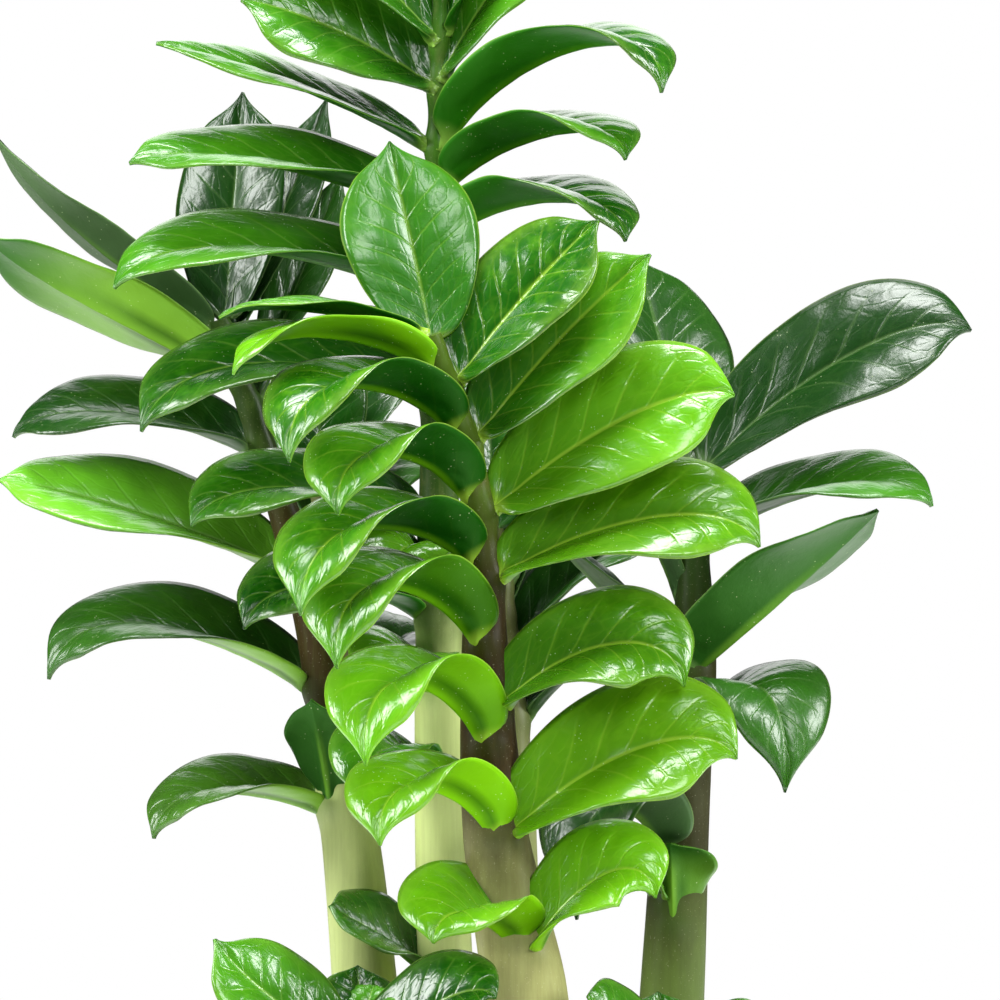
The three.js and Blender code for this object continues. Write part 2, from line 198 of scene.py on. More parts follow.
def paper_finish():
    finish, tree, shader, place = new_finish("white paper")
    fibre = noise(tree, place, 900, 3)
    put(shader.inputs["Base Color"], mixed(fibre, "f1f1ef", "f8f8f6"))
    shader.inputs["Roughness"].default_value = 0.85
    raise_surface(shader, fibre, 0.1 * MM, 0.3)
    return finish


def mesh_of(name, net):
    """Turns a finished bmesh into a mesh, and frees it."""
    mesh = bpy.data.meshes.new(name)
    net.to_mesh(mesh)
    net.free()
    return mesh


sheet = bmesh.new()
bmesh.ops.create_circle(sheet, cap_ends=True, segments=FLOOR_SIDES, radius=FLOOR_RADIUS)
paper = set_down("paper_floor", mesh_of("paper_floor", sheet))
paper.data.materials.append(paper_finish())

# Pot. The round grower's pot: thin moulded polypropylene with a rolled rim, a step under it
# that it is lifted by, fine grip lines, a narrow foot, and four drain holes in its floor.
POT_TOP_RADIUS = 70 * MM
POT_BASE_RADIUS = 51 * MM
POT_HEIGHT = 125 * MM
POT_WALL = 2.4 * MM
POT_FLOOR = 3 * MM
RIM_HEIGHT = 14 * MM
RIM_OVERHANG = 2.6 * MM
GRIP_LINES = 3
GRIP_DROP = 6 * MM
GRIP_PITCH = 2.4 * MM
GRIP_WIDTH = 1.6 * MM
GRIP_DEPTH = 0.35 * MM
DRAIN_RADIUS = 5 * MM
DRAIN_CIRCLE = 34 * MM
DRAIN_HOLES = 4
DRILL_SIDES = 32
POT_SIDES = 128
SHARP_ANGLE = math.radians(38)
CORNER_ROUNDING = 0.9 * MM
CORNER_SHARE = 0.45

# Bevels, each as its reach across and its reach up or down.
FOOT_BEVEL = (1.6 * MM, 2 * MM)
STEP_BEVEL = (0.6 * MM, 1.2 * MM)
RIM_BEVEL = (1.2 * MM, 2 * MM)
MOUTH_BEVEL = (0.8 * MM, 1.5 * MM)


def squeezed(tree, place, x, y, z):
    """The place scaled by a factor along each axis, to stretch a pattern."""
    return add_node(tree, "VectorMath", {0: place, 1: (x, y, z)}, operation="MULTIPLY").outputs[0]


def plastic_finish():
    finish, tree, shader, place = new_finish("matt grey plastic")
    grain = noise(tree, place, 2600, 3)
    cloud = noise(tree, place, 28, 4, 0.6)
    scuffs = noise(tree, squeezed(tree, place, 1, 1, 9), 90, 5, 0.7).ramp(0.62, 0.74)
    colour = mixed(cloud, "34373a", "404447")
    put(shader.inputs["Base Color"], mixed(scuffs * 0.35, colour, "6c7073"))
    put(shader.inputs["Roughness"], cloud * 0.15 + scuffs * 0.15 + 0.42)
    raise_surface(shader, grain, 0.12 * MM, 0.35)
    return finish


def pot_wall_radius(height):
    share = height / POT_HEIGHT
    return POT_BASE_RADIUS + (POT_TOP_RADIUS - RIM_OVERHANG - POT_BASE_RADIUS) * share


def rounded(points, radius, steps=4):
    """The profile with each inner corner rounded by up to the radius, as (radius, height)."""
    result = [points[0]]
    for before, corner, after in zip(points, points[1:], points[2:]):
        before, corner, after = Vector(before), Vector(corner), Vector(after)
        shortest = min((before - corner).length, (after - corner).length)
        reach = min(radius, shortest * CORNER_SHARE)
        start = corner + (before - corner).normalized() * reach
        end = corner + (after - corner).normalized() * reach
        for index in range(steps + 1):
            share = index / steps
            result.append(start.lerp(corner, share).lerp(corner.lerp(end, share), share))
    return result + [points[-1]]


def pot_profile():
    """The pot's section, from the middle of its underside round the rim to its floor."""
    ring_low = POT_HEIGHT - RIM_HEIGHT
    inner_top = pot_wall_radius(POT_HEIGHT) - POT_WALL
    inner_low = pot_wall_radius(POT_FLOOR) - POT_WALL
    grips = []
    for line in range(GRIP_LINES):
        height = ring_low - GRIP_DROP - GRIP_PITCH * line
        edge = pot_wall_radius(height)
        half = GRIP_WIDTH / 2
        grips += [(edge, height - half), (edge - GRIP_DEPTH, height), (edge, height + half)]
    grips.sort(key=lambda point: point[1])
    return rounded([
        (0, 0),
        (POT_BASE_RADIUS - FOOT_BEVEL[0], 0),
        (POT_BASE_RADIUS, FOOT_BEVEL[1]),
        *grips,
        (pot_wall_radius(ring_low), ring_low),
        (POT_TOP_RADIUS - STEP_BEVEL[0], ring_low + STEP_BEVEL[1]),
        (POT_TOP_RADIUS, POT_HEIGHT - RIM_BEVEL[1]),
        (POT_TOP_RADIUS - RIM_BEVEL[0], POT_HEIGHT),
        (inner_top + MOUTH_BEVEL[0], POT_HEIGHT),
        (inner_top, POT_HEIGHT - MOUTH_BEVEL[1]),
        (inner_low, POT_FLOOR),
        (0, POT_FLOOR),
    ], CORNER_ROUNDING)


def turned(name, profile, sides):
    """A closed body turned round the upright axis from a profile that starts and ends on it."""
    net = bmesh.new()
    rings = []
    for radius, height in profile[1:-1]:
        ring = []
        for side in range(sides):
            angle = side * math.tau / sides
            x, y = radius * math.cos(angle), radius * math.sin(angle)
            ring.append(net.verts.new((x, y, height)))
        rings.append(ring)
    low = net.verts.new((0, 0, profile[0][1]))
    high = net.verts.new((0, 0, profile[-1][1]))
    for side in range(sides):
        following = (side + 1) % sides
        for lower, upper in zip(rings, rings[1:]):
            net.faces.new((lower[side], lower[following], upper[following], upper[side]))
        net.faces.new((low, rings[0][following], rings[0][side]))
        net.faces.new((high, rings[-1][side], rings[-1][following]))
    bmesh.ops.recalc_face_normals(net, faces=net.faces)
    return set_down(name, mesh_of(name, net))


def start_tree(name, inputs):
    """A Geometry Nodes tree with a geometry in and out and the named inputs, {name: kind}."""
    tree = bpy.data.node_groups.new(name, "GeometryNodeTree")
    for label, kind in {"Geometry": "Geometry", **inputs}.items():
        tree.interface.new_socket(label, in_out="INPUT", socket_type="NodeSocket" + kind)
    tree.interface.new_socket("Geometry", in_out="OUTPUT", socket_type="NodeSocketGeometry")
    given = tree.nodes.new("NodeGroupInput")
    return tree, given.outputs, tree.nodes.new("NodeGroupOutput").inputs[0]


def step(tree, kind, sockets=(), **settings):
    """Adds a geometry node and gives its first output."""
    return add_node(tree, "GeometryNode" + kind, sockets, **settings).outputs[0]


def made_by(tree, blank, name, values):
    """Runs a tree with its input values on a blank, and gives the result as a plain mesh piece."""
    modifier = blank.modifiers.new(tree.name, "NODES")
    modifier.node_group = tree
    for item in tree.interface.items_tree:
        if item.in_out == "INPUT" and item.name in values:
            modifier[item.identifier] = values[item.name]
    evaluated = blank.evaluated_get(bpy.context.evaluated_depsgraph_get())
    mesh = bpy.data.meshes.new_from_object(evaluated)
    mesh.name = name
    bpy.data.objects.remove(blank)
    return set_down(name, mesh)


def drain_tree():
    """Drills a ring of round holes into the pot's floor from below. The Boolean leaves the
    floor's top faces over them, so a bare skin still closes each hole there."""
    tree, given, result = start_tree("drain holes", {
        "Holes": "Int", "Circle": "Float", "Hole Radius": "Float", "Drill Length": "Float",
        "Finish": "Material",
    })
    ring = step(tree, "MeshCircle", {"Vertices": given["Holes"], "Radius": given["Circle"]})
    turn = step(tree, "Transform", {"Geometry": ring, "Rotation": (0, 0, math.pi / DRAIN_HOLES)})
    drill = step(tree, "MeshCylinder", {
        "Vertices": DRILL_SIDES, "Radius": given["Hole Radius"], "Depth": given["Drill Length"],
    })
    drills = step(tree, "InstanceOnPoints", {"Points": turn, "Instance": drill})
    drills = step(tree, "RealizeInstances", {"Geometry": drills})
    drilled = step(tree, "MeshBoolean", {0: given["Geometry"], 1: drills}, operation="DIFFERENCE")
    put(result, step(tree, "SetMaterial", {"Geometry": drilled, "Material": given["Finish"]}))
    return tree


pot = made_by(drain_tree(), turned("pot_blank", pot_profile(), POT_SIDES), "growers_pot", {
    "Holes": DRAIN_HOLES, "Circle": DRAIN_CIRCLE, "Hole Radius": DRAIN_RADIUS,
    "Drill Length": POT_FLOOR * 4, "Finish": plastic_finish(),
})
pot.data.shade_smooth()
pot.data.set_sharp_from_angle(angle=SHARP_ANGLE)
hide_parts("pot")
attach(pot, "root")

# Soil. Peat and composted bark, pressed in round the stems: the body of it is the frame's own
# piece, with its stem holes, and loose crumbs, bark chips and a little perlite lie on top.
SOIL_TOP = 112 * MM
BARE_EDGE = 2.5 * MM
SOIL_RADIUS = pot_wall_radius(SOIL_TOP) - POT_WALL - BARE_EDGE
SOIL_SIDES = 64
LAYER_LIFT = 0.3 * MM
LUMP_SCALE = 420
LUMP_UNEVENNESS = 1.6 * MM


def soil_finish(name, dark, light, dry):
    finish, tree, shader, place = new_finish(name)
    lumps = noise(tree, place, LUMP_SCALE, 6, 0.7)
    damp = noise(tree, place, 35, 3)
    specks = noise(tree, place, 1500, 3, 0.8).ramp(0.6, 0.68)
    colour = mixed(lumps.ramp(0.3, 0.7), dark, light)
    put(shader.inputs["Base Color"], mixed(specks * damp, colour, dry))
    put(shader.inputs["Roughness"], damp * 0.3 + 0.65)
    raise_surface(shader, lumps, 1.2 * MM, 0.9)
    return finish


def crumb_tree():
    """Strews lumps of random size over a surface, each with an uneven skin of its own."""
    tree, given, result = start_tree("crumbs", {
        "Spacing": "Float", "Density": "Float", "Smallest": "Float", "Largest": "Float",
        "Stretch": "Vector", "Unevenness": "Float", "Seed": "Int", "Finish": "Material",
    })
    scatter = add_node(tree, "GeometryNodeDistributePointsOnFaces", {
        "Mesh": given["Geometry"], "Distance Min": given["Spacing"],
        "Density Max": given["Density"], "Seed": given["Seed"],
    }, distribute_method="POISSON")
    size = add_node(tree, "FunctionNodeRandomValue", {
        2: given["Smallest"], 3: given["Largest"], "Seed": given["Seed"],
    }).outputs[1]
    turn = add_node(tree, "FunctionNodeRandomValue", {
        0: (-0.5, -0.5, 0), 1: (0.5, 0.5, math.tau), "Seed": given["Seed"],
    }, data_type="FLOAT_VECTOR").outputs[0]
    lump = step(tree, "MeshIcoSphere", {"Radius": 1.0, "Subdivisions": 2})
    stretch = add_node(tree, "VectorMath", {0: given["Stretch"], "Scale": size}, operation="SCALE")
    lumps = step(tree, "InstanceOnPoints", {
        "Points": scatter.outputs[0], "Instance": lump, "Rotation": turn,
        "Scale": stretch.outputs[0],
    })
    lumps = step(tree, "RealizeInstances", {"Geometry": lumps})
    here = add_node(tree, "GeometryNodeInputPosition").outputs[0]
    rough = add_node(tree, "TexNoise", {"Vector": here, "Scale": LUMP_SCALE, "Detail": 2.0})
    push = add_node(tree, "VectorMath", {0: rough.outputs[1], 1: (0.5, 0.5, 0.5)},
                    operation="SUBTRACT")
    push = add_node(tree, "VectorMath", {0: push.outputs[0], "Scale": given["Unevenness"]},
                    operation="SCALE")
    lumps = step(tree, "SetPosition", {"Geometry": lumps, "Offset": push.outputs[0]})
    lumps = step(tree, "SetShadeSmooth", {"Geometry": lumps})
    put(result, step(tree, "SetMaterial", {"Geometry": lumps, "Material": given["Finish"]}))
    return tree


def strewn(tree, name, spacing, density, smallest, largest, stretch, seed, finish):
    """A layer of lumps over the soil's round top, lying half sunk in it."""
    net = bmesh.new()
    bmesh.ops.create_circle(net, cap_ends=True, cap_tris=True, segments=SOIL_SIDES,
                            radius=SOIL_RADIUS - largest)
    bmesh.ops.translate(net, verts=net.verts, vec=(0, 0, SOIL_TOP + LAYER_LIFT))
    disc = set_down(name, mesh_of(name, net))
    layer = made_by(tree, disc, name, {
        "Spacing": spacing, "Density": density, "Smallest": smallest, "Largest": largest,
        "Stretch": stretch, "Unevenness": LUMP_UNEVENNESS, "Seed": seed, "Finish": finish,
    })
    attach(layer, "root")


peat = soil_finish("damp peat", dark="17100b", light="3a2a1c", dry="6b5a45")
bark = soil_finish("composted bark", dark="2c1b10", light="5e4026", dry="80664a")
perlite = soil_finish("perlite", dark="b9b4a8", light="e6e2d8", dry="8a8172")
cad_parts["soil"].data.materials.clear()
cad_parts["soil"].data.materials.append(peat)
crumbs = crumb_tree()
strewn(crumbs, "soil_crumbs", spacing=2.2 * MM, density=150000, smallest=1.2 * MM,
       largest=2.6 * MM, stretch=(1, 0.8, 0.7), seed=3, finish=peat)
strewn(crumbs, "bark_chips", spacing=9 * MM, density=9000, smallest=2.2 * MM,
       largest=4.2 * MM, stretch=(1.5, 0.7, 0.35), seed=8, finish=bark)
strewn(crumbs, "perlite_grains", spacing=11 * MM, density=7000, smallest=0.8 * MM,
       largest=1.7 * MM, stretch=(1, 0.9, 0.8), seed=15, finish=perlite)

# Rhizome. The clump of swollen, potato-like tubers that the stems grow from, with a corky
# skin in rings. All of it is buried, in its own hollow in the soil.
TUBER_FINENESS = 1.1 * MM
TUBER_ROUNDING = 6
TUBER_BAND = 3 * MM
SAME_PLACE = 0.02 * MM
RING_SCALE = 160
RING_SQUEEZE = (1, 1, 7)
RING_RELIEF = 0.25 * MM
LEVEL_RING = 0.7


def tuber_finish():
    finish, tree, shader, place = new_finish("corky tuber skin")
    rings = noise(tree, squeezed(tree, place, *RING_SQUEEZE), RING_SCALE, 4, 0.6)
    spots = noise(tree, place, 800, 3).ramp(0.56, 0.66)
    colour = mixed(rings.ramp(0.35, 0.65), "8f7440", "c4ab74")
    put(shader.inputs["Base Color"], mixed(spots * 0.6, colour, "5c4527"))
    put(shader.inputs["Roughness"], rings * 0.3 + 0.55)
    raise_surface(shader, rings, 0.5 * MM, 0.7)
    return finish


def tuber_tree():
    """Rounds off the clump and raises the rings of its skin."""
    tree, given, result = start_tree("tuber skin", {
        "Fineness": "Float", "Rounding": "Int", "Ring Relief": "Float", "Finish": "Material",
    })
    merged = step(tree, "MergeByDistance", {"Geometry": given["Geometry"], "Distance": SAME_PLACE})
    volume = step(tree, "MeshToVolume", {
        "Mesh": merged, "Voxel Size": given["Fineness"], "Interior Band Width": TUBER_BAND,
    }, resolution_mode="VOXEL_SIZE")
    body = step(tree, "VolumeToMesh", {"Volume": volume})
    here = add_node(tree, "GeometryNodeInputPosition").outputs[0]
    smooth = add_node(tree, "GeometryNodeBlurAttribute", {
        "Value": here, "Iterations": given["Rounding"],
    }, data_type="FLOAT_VECTOR").outputs[0]
    body = step(tree, "SetPosition", {"Geometry": body, "Position": smooth})
    ring = noise(tree, squeezed(tree, here, *RING_SQUEEZE), RING_SCALE) - LEVEL_RING
    outward = add_node(tree, "GeometryNodeInputNormal").outputs[0]
    push = add_node(tree, "VectorMath", {0: outward, "Scale": ring * Field(given["Ring Relief"])},
                    operation="SCALE").outputs[0]
    body = step(tree, "SetPosition", {"Geometry": body, "Offset": push})
    body = step(tree, "SetShadeSmooth", {"Geometry": body})
    put(result, step(tree, "SetMaterial", {"Geometry": body, "Material": given["Finish"]}))
    return tree


clump = set_down("clump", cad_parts["rhizome"].data.copy())
rhizome = made_by(tuber_tree(), clump, "tuber_clump", {
    "Fineness": TUBER_FINENESS, "Rounding": TUBER_ROUNDING, "Ring Relief": RING_RELIEF,
    "Finish": tuber_finish(),
})
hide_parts("rhizome")
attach(rhizome, "root")

# Leaflets. Thick, glossy blades with a short stalk, folded up along the midrib at the base and
# opening towards a drooping, pointed tip. They grow out of both sides of a fleshy stem, and
# each frond is one piece: its stem with all its leaflets.
BLADE_SIZES = {
    "Blade Stations": 56, "Blade Ring": 56, "Blade Thickness": 0.9 * MM,
    "Stalk Thickness": 3.4 * MM, "Stalk Width": 3.4 * MM, "Tip Width": 0.4 * MM,
    "Stalk Share": 0.07, "Blade Start": 0.045, "Base Roundness": 0.42, "Tip Point": 0.42,
    "Lobe Sweep": 0.5, "Half Bulge": 0.065, "Vein Pairs": 8.0, "Vein Sweep": 1.7,
    "Cushion": 0.26 * MM, "Groove": 0.18 * MM, "Keel": 1.7 * MM, "Keel Width": 1.1 * MM,
    "Margin Wave": 0.5 * MM, "Crinkle": 0.3 * MM,
}
STEM_SIZES = {"Stem Sides": 40, "Foot Swelling": 0.9 * MM, "Foot Spread": 3.2 * MM}

# What shapes a unit blade: how its faces crowd to the midrib, its rounded rim, how far forward
# it is widest, how its fold fades towards the tip, and how much thinner it is at its margin.
MIDRIB_CROWDING = 1.35
RIM_SHARE = 0.1
OUTLINE_SKEW = 1.08
FOLD_FADE = 1.4
MARGIN_THINNING = 0.4
GROOVE_WIDTH = 0.8 * MM
CRINKLE_SCALE = 260

# The fronds' tables are in millimetres and degrees, and so are these values of their stems. A
# stem's colours change over a wavering height, and turn to the tip's between two heights above.
TUBER_TOP = 84
STEM_GAP = 0.35
STEM_FOOT = TUBER_TOP + STEM_GAP
STEM_RING_GAP = 1.2
CHANGE_WAVER = 24
TIP_COLOUR_STARTS = 35
TIP_COLOUR_FULL = 65

# A midrib starts inside its stem, at a share of the stem's radius. Its first guide point is at
# a share of its reach, and by its second one it has made a share of its sideways bend. The
# blade turns with the bend, at its tip by a multiple of the bend's angle.
SEAT_SHARE = 0.75
FIRST_GUIDE = 0.22
BEND_BY_HOOK = 0.6
SWING_BY_BEND = 2.4


def vein_rows(along, outward, pairs, sweep):
    """Counts the side veins up the blade: each whole number is one, swept towards the tip."""
    return along * pairs - outward ** 0.8 * sweep


def leaf_finish(name, upper, shade, base, under, under_base, aged_and_shaded, aged_and_shaded_under, rib, margin, wrinkle):
    """A waxy leaf: glossy above, duller below, with pale veins and margin. The aged colours are those
    that its blades turn to as they grow old, and on some leaflets they stand for painted shade too;
    under_base is that of an underside that light glows through, as painted light. A blade's age value
    and its glow both run from 0 to 1."""
    finish, tree, shader, place = new_finish(name)

    def stored(label):
        return Field(add_node(tree, "Attribute", attribute_name=label).outputs["Fac"])

    along, across, tone, age_and_shade, glow = (
        stored(label) for label in ("along", "across", "tone", "age_and_shade", "glow"))
    outward = abs(across)
    top_side = stored("face").maths("GREATER_THAN", 0.0)
    drift = noise(tree, place, 120, 2)
    rows = vein_rows(along, outward, BLADE_SIZES["Vein Pairs"], BLADE_SIZES["Vein Sweep"])
    between = abs((rows + drift * 0.25).maths("FRACT") - 0.5) * 2
    veins = between.ramp(0.84, 1.0) * outward.ramp(0.97, 0.4)
    midrib = outward.ramp(0.05, 0.01) * along.ramp(1.0, 0.6, 0.35, 1.0)
    edge = outward.ramp(0.97, 0.99)
    clouds = noise(tree, place, 75, 3, 0.6)
    cell = add_node(tree, "CombineXYZ", {0: rows * 1.7 + drift, 1: outward * 5, 2: tone * 9})
    from_edge = add_node(tree, "TexVoronoi", {"Vector": cell.outputs[0], "Scale": 1.0},
                         feature="DISTANCE_TO_EDGE").outputs["Distance"]
    net = Field(from_edge).ramp(0.14, 0.0)

    # The top: cloudy, with pale veins, midrib and margin, painted shade that darkens it towards the
    # base, and painted light where light glows through it.
    upper_colour = mixed((clouds * 0.7 + tone * 0.6 - 0.15).ramp(0.2, 0.85), shade, upper)
    patches = noise(tree, place, 240, 3, 0.65).ramp(0.45, 0.8)
    upper_colour = mixed(patches * 0.3, upper_colour, base)
    upper_colour = mixed(outward.ramp(0.6, 1.0) * 0.15, upper_colour, margin)
    # Painted shade: the top grows darker towards the stem.
    upper_colour = mixed(along.ramp(0.75, 0.1) * 0.85, upper_colour, shade)
    # Darker with age: real on old blades, and painted shade on some younger leaflets.
    upper_colour = mixed(age_and_shade * 0.9, upper_colour, aged_and_shaded)
    # Painted light: a blade that light glows through is lit on top towards the underside's glowing
    # colour.
    upper_colour = mixed(glow * (1 - age_and_shade) * 0.4, upper_colour, under_base)
    upper_colour = mixed((veins * 0.13 + net * 0.03) * (1 - age_and_shade * 0.4), upper_colour, rib)
    upper_colour = mixed(midrib * (0.4 - age_and_shade * 0.25), upper_colour, rib)

    # The underside: painted light glowing through it, least in the valley beside the keel, where
    # painted shade lies.
    # Painted shade in the valley beside the keel.
    valley_shade = (1 - abs(outward - 0.22) / 0.24).maths("MAXIMUM", 0.0) * along.ramp(0.7, 0.3)
    keel = outward.ramp(0.14, 0.04) * along.ramp(0.8, 0.3)
    lit = glow * along.ramp(0.9, 0.4) * (1 - valley_shade * 0.7)
    # The aged underside colour: real on old blades, and painted shade on some others.
    under_colour = mixed(age_and_shade * along.ramp(0.05, 0.4, 0.6, 0.9), under, aged_and_shaded_under)
    under_colour = mixed(lit * (1 - age_and_shade * along.ramp(0.2, 0.5)), under_colour, under_base)
    under_colour = mixed(keel * 0.35, under_colour, under_base)
    under_colour = mixed(veins * 0.012, under_colour, rib)

    # Both faces: a pale stalk and edge, dust in specks, gloss, and low swells and veins.
    colour = mixed(top_side, under_colour, upper_colour)
    colour = mixed(along.ramp(0.1, 0.03) * 0.6, colour, rib)
    colour = mixed(edge * 0.35, colour, margin)
    dust = add_node(tree, "TexVoronoi", {"Vector": place, "Scale": 1000.0}).outputs["Distance"]
    dust = Field(dust).ramp(0.15, 0.1) * noise(tree, place, 260, 2).ramp(0.5, 0.62)
    colour = mixed(dust * (top_side * -0.2 + 0.5), colour, "d3dfae")
    put(shader.inputs["Base Color"], colour)
    dullness = top_side * -0.22 + age_and_shade * 0.08 + clouds * 0.1 + dust * 0.3 + 0.39
    put(shader.inputs["Roughness"], dullness)
    put(shader.inputs["Specular Tint"], mixed(top_side, "8ad668", "ffffff"))
    shader.inputs["Specular IOR Level"].default_value = 0.5
    swells = noise(tree, place, 260, 3, 0.6) * wrinkle + noise(tree, place, 95, 1) * 3.2
    grain = noise(tree, place, 1500, 2)
    relief = swells * 0.2 - (net * 0.03 + veins * 0.07) * top_side + grain * 0.025
    raise_surface(shader, relief, 0.9 * MM)
    return finish


def stem_finish(name, low, high, tip, mottle, foot, change_low, change_high):
    """A fleshy stem: fine upright streaks, a waxy skin, brown mottling further up, a young
    green tip, and the leaflets' own green round their feet."""
    finish, tree, shader, place = new_finish(name)
    height = Field(add_node(tree, "SeparateXYZ", {0: place}).outputs[2])
    streaks = noise(tree, squeezed(tree, place, 1, 1, 0.06), 900, 4, 0.65)
    patches = noise(tree, squeezed(tree, place, 1, 1, 0.45), 130, 4, 0.65)
    pores = noise(tree, place, 2300, 2).ramp(0.66, 0.74)
    wavering = height + patches * CHANGE_WAVER * MM
    lowest, highest = change_low + CHANGE_WAVER / 2, change_high + CHANGE_WAVER / 2
    climb = wavering.ramp(lowest * MM, highest * MM)
    starts, full = change_high + TIP_COLOUR_STARTS, change_high + TIP_COLOUR_FULL
    colour = mixed(climb, low, high)
    colour = mixed(height.ramp(starts * MM, full * MM), colour, tip)
    colour = mixed(streaks.ramp(0.35, 0.7) * 0.16, colour, mottle)
    colour = mixed(patches.ramp(0.52, 0.72) * climb * 0.5, colour, mottle)
    colour = mixed(pores * 0.2, colour, "d9d6b4")
    near_foot = Field(add_node(tree, "Attribute", attribute_name="near_foot").outputs["Fac"])
    put(shader.inputs["Base Color"], mixed(near_foot * 0.5, colour, foot))
    put(shader.inputs["Roughness"], patches * 0.2 + 0.3)
    shader.inputs["Specular IOR Level"].default_value = 0.2
    raise_surface(shader, streaks * 0.5 + pores * 0.4, 0.35 * MM, 0.3)
    return finish


def frond_tree():
    """Draws the stem along its line and a blade at each leaflet's foot.

    The blank's edges are the stem's line, with its thickness, and its loose points are the
    leaflets' feet, which carry the midrib's guide points and the blade's own sizes.
    """
    tree, given, result = start_tree("frond", {
        "Blade Stations": "Int", "Blade Ring": "Int", "Blade Thickness": "Float",
        "Stalk Thickness": "Float", "Stalk Width": "Float", "Tip Width": "Float",
        "Stalk Share": "Float", "Blade Start": "Float", "Base Roundness": "Float",
        "Tip Point": "Float", "Lobe Sweep": "Float", "Half Bulge": "Float",
        "Vein Pairs": "Float", "Vein Sweep": "Float", "Cushion": "Float", "Groove": "Float",
        "Keel": "Float", "Keel Width": "Float", "Margin Wave": "Float", "Crinkle": "Float",
        "Stem Sides": "Int", "Foot Swelling": "Float", "Foot Spread": "Float",
        "Leaf Finish": "Material", "Stem Finish": "Material",
    })
    size = {name: Field(socket) for name, socket in given.items() if socket.type == "VALUE"}

    def stored(label, kind="FLOAT"):
        return add_node(tree, "GeometryNodeInputNamedAttribute", {"Name": label},
                        data_type=kind).outputs[0]

    def store(geometry, label, value):
        return step(tree, "StoreNamedAttribute", {"Geometry": geometry, "Name": label, "Value": value})

    def arrow(operation, first, second=None, scale=None):
        values = {0: first}
        if second is not None:
            values[1] = second
        if scale is not None:
            values["Scale"] = scale
        return add_node(tree, "VectorMath", values, operation=operation).outputs[0]

    def sum_of(*arrows):
        total = arrows[0]
        for following in arrows[1:]:
            total = arrow("ADD", total, following)
        return total

    here = add_node(tree, "GeometryNodeInputPosition").outputs[0]

    # A unit blade is a closed tube: it is squashed to two faces, and lies dense at the midrib.
    tube = step(tree, "MeshCylinder", {
        "Vertices": given["Blade Ring"], "Side Segments": given["Blade Stations"],
        "Radius": 1.0, "Depth": 1.0,
    }, fill_type="TRIANGLE_FAN")
    x, y, z = (Field(out) for out in add_node(tree, "SeparateXYZ", {0: here}).outputs)
    lie = 1 - abs(y.maths("ARCTAN2", x)) * (2 / math.pi)
    spread = lie.maths("SIGN") * abs(lie) ** MIDRIB_CROWDING
    rim = ((abs(lie) - (1 - RIM_SHARE)) / RIM_SHARE).maths("MAXIMUM", 0.0)
    side_up = y.maths("SIGN") * (1 - rim * rim).maths("MAXIMUM", 0.0).maths("SQRT")
    tube = store(tube, "across", spread)
    tube = store(tube, "face", side_up)
    tube = store(tube, "along", z + 0.5)

    is_foot = stored("is_foot")
    feet = step(tree, "MeshToPoints", {"Mesh": given["Geometry"], "Selection": is_foot})
    blades = step(tree, "InstanceOnPoints", {"Points": feet, "Instance": tube})
    blades = step(tree, "RealizeInstances", {"Geometry": blades})

    # The midrib is a cubic curve through the guide points, from the foot to the tip.
    along, across, face = (Field(stored(label)) for label in ("along", "across", "face"))
    tone, cup, roll, swing, width = (
        Field(stored(label)) for label in ("tone", "cup", "roll", "swing", "width"))
    root, first, second, tip, left = (
        stored(label, "FLOAT_VECTOR") for label in ("root", "first", "second", "tip", "left"))
    rest = 1 - along
    middle = sum_of(
        arrow("SCALE", root, scale=rest ** 3),
        arrow("SCALE", first, scale=rest * rest * along * 3),
        arrow("SCALE", second, scale=rest * along * along * 3),
        arrow("SCALE", tip, scale=along ** 3),
    )
    heading = arrow("NORMALIZE", sum_of(
        arrow("SCALE", arrow("SUBTRACT", first, root), scale=rest * rest),
        arrow("SCALE", arrow("SUBTRACT", second, first), scale=rest * along * 2),
        arrow("SCALE", arrow("SUBTRACT", tip, second), scale=along * along),
    ))

    def turned_by(vector, axis, angle):
        values = {"Vector": vector, "Axis": axis, "Angle": angle}
        return add_node(tree, "VectorRotate", values).outputs[0]

    side = turned_by(left, (0, 0, 1), swing * along)
    lean = add_node(tree, "VectorMath", {0: side, 1: heading},
                    operation="DOT_PRODUCT").outputs["Value"]
    side = arrow("NORMALIZE", arrow("SUBTRACT", side, arrow("SCALE", heading, scale=Field(lean))))
    side = turned_by(side, heading, roll)
    up = arrow("CROSS_PRODUCT", heading, side)

    # The outline, the fold and the blade's gently domed halves.
    outward = abs(across)
    hand = across.maths("SIGN")
    blade = ((along - size["Blade Start"]) / (1 - size["Blade Start"])).maths("MAXIMUM", 0.0)
    fullness = blade * size["Tip Point"] + size["Base Roundness"]
    outline = (blade ** OUTLINE_SKEW * math.pi).maths("SINE").maths("MAXIMUM", 0.0) ** fullness
    outline = outline * along.ramp(0.84, 1.0, 1.0, 0.5)
    stalk = (1 - along / (size["Stalk Share"] * 2)).maths("MAXIMUM", 0.0)
    narrowest = size["Tip Width"] + (size["Stalk Width"] - size["Tip Width"]) * stalk
    half = (width * outline).maths("MAXIMUM", narrowest) * 0.5
    fold = cup * rest ** FOLD_FADE * (along / size["Stalk Share"]).maths("MINIMUM", 1.0)
    cosine, sine = fold.maths("COSINE"), fold.maths("SINE")
    arch = (outward ** 0.9 * math.pi).maths("SINE")
    dome = arch * half * size["Half Bulge"] * along.ramp(0.1, 0.6, -1.4, 1.0)
    folded = cup.maths("SINE") ** 2
    back = outward ** 1.5 * half * size["Lobe Sweep"] * folded * along.ramp(0.34, 0.06)
    wave = ((along * 2.3 + tone * 5 + hand * 0.21) * math.tau).maths("SINE")
    wave = wave * outward ** 3 * size["Margin Wave"] * along.ramp(0.1, 0.4) * along.ramp(1.0, 0.85)
    tilt = fold * outward.ramp(0.0, 0.3)

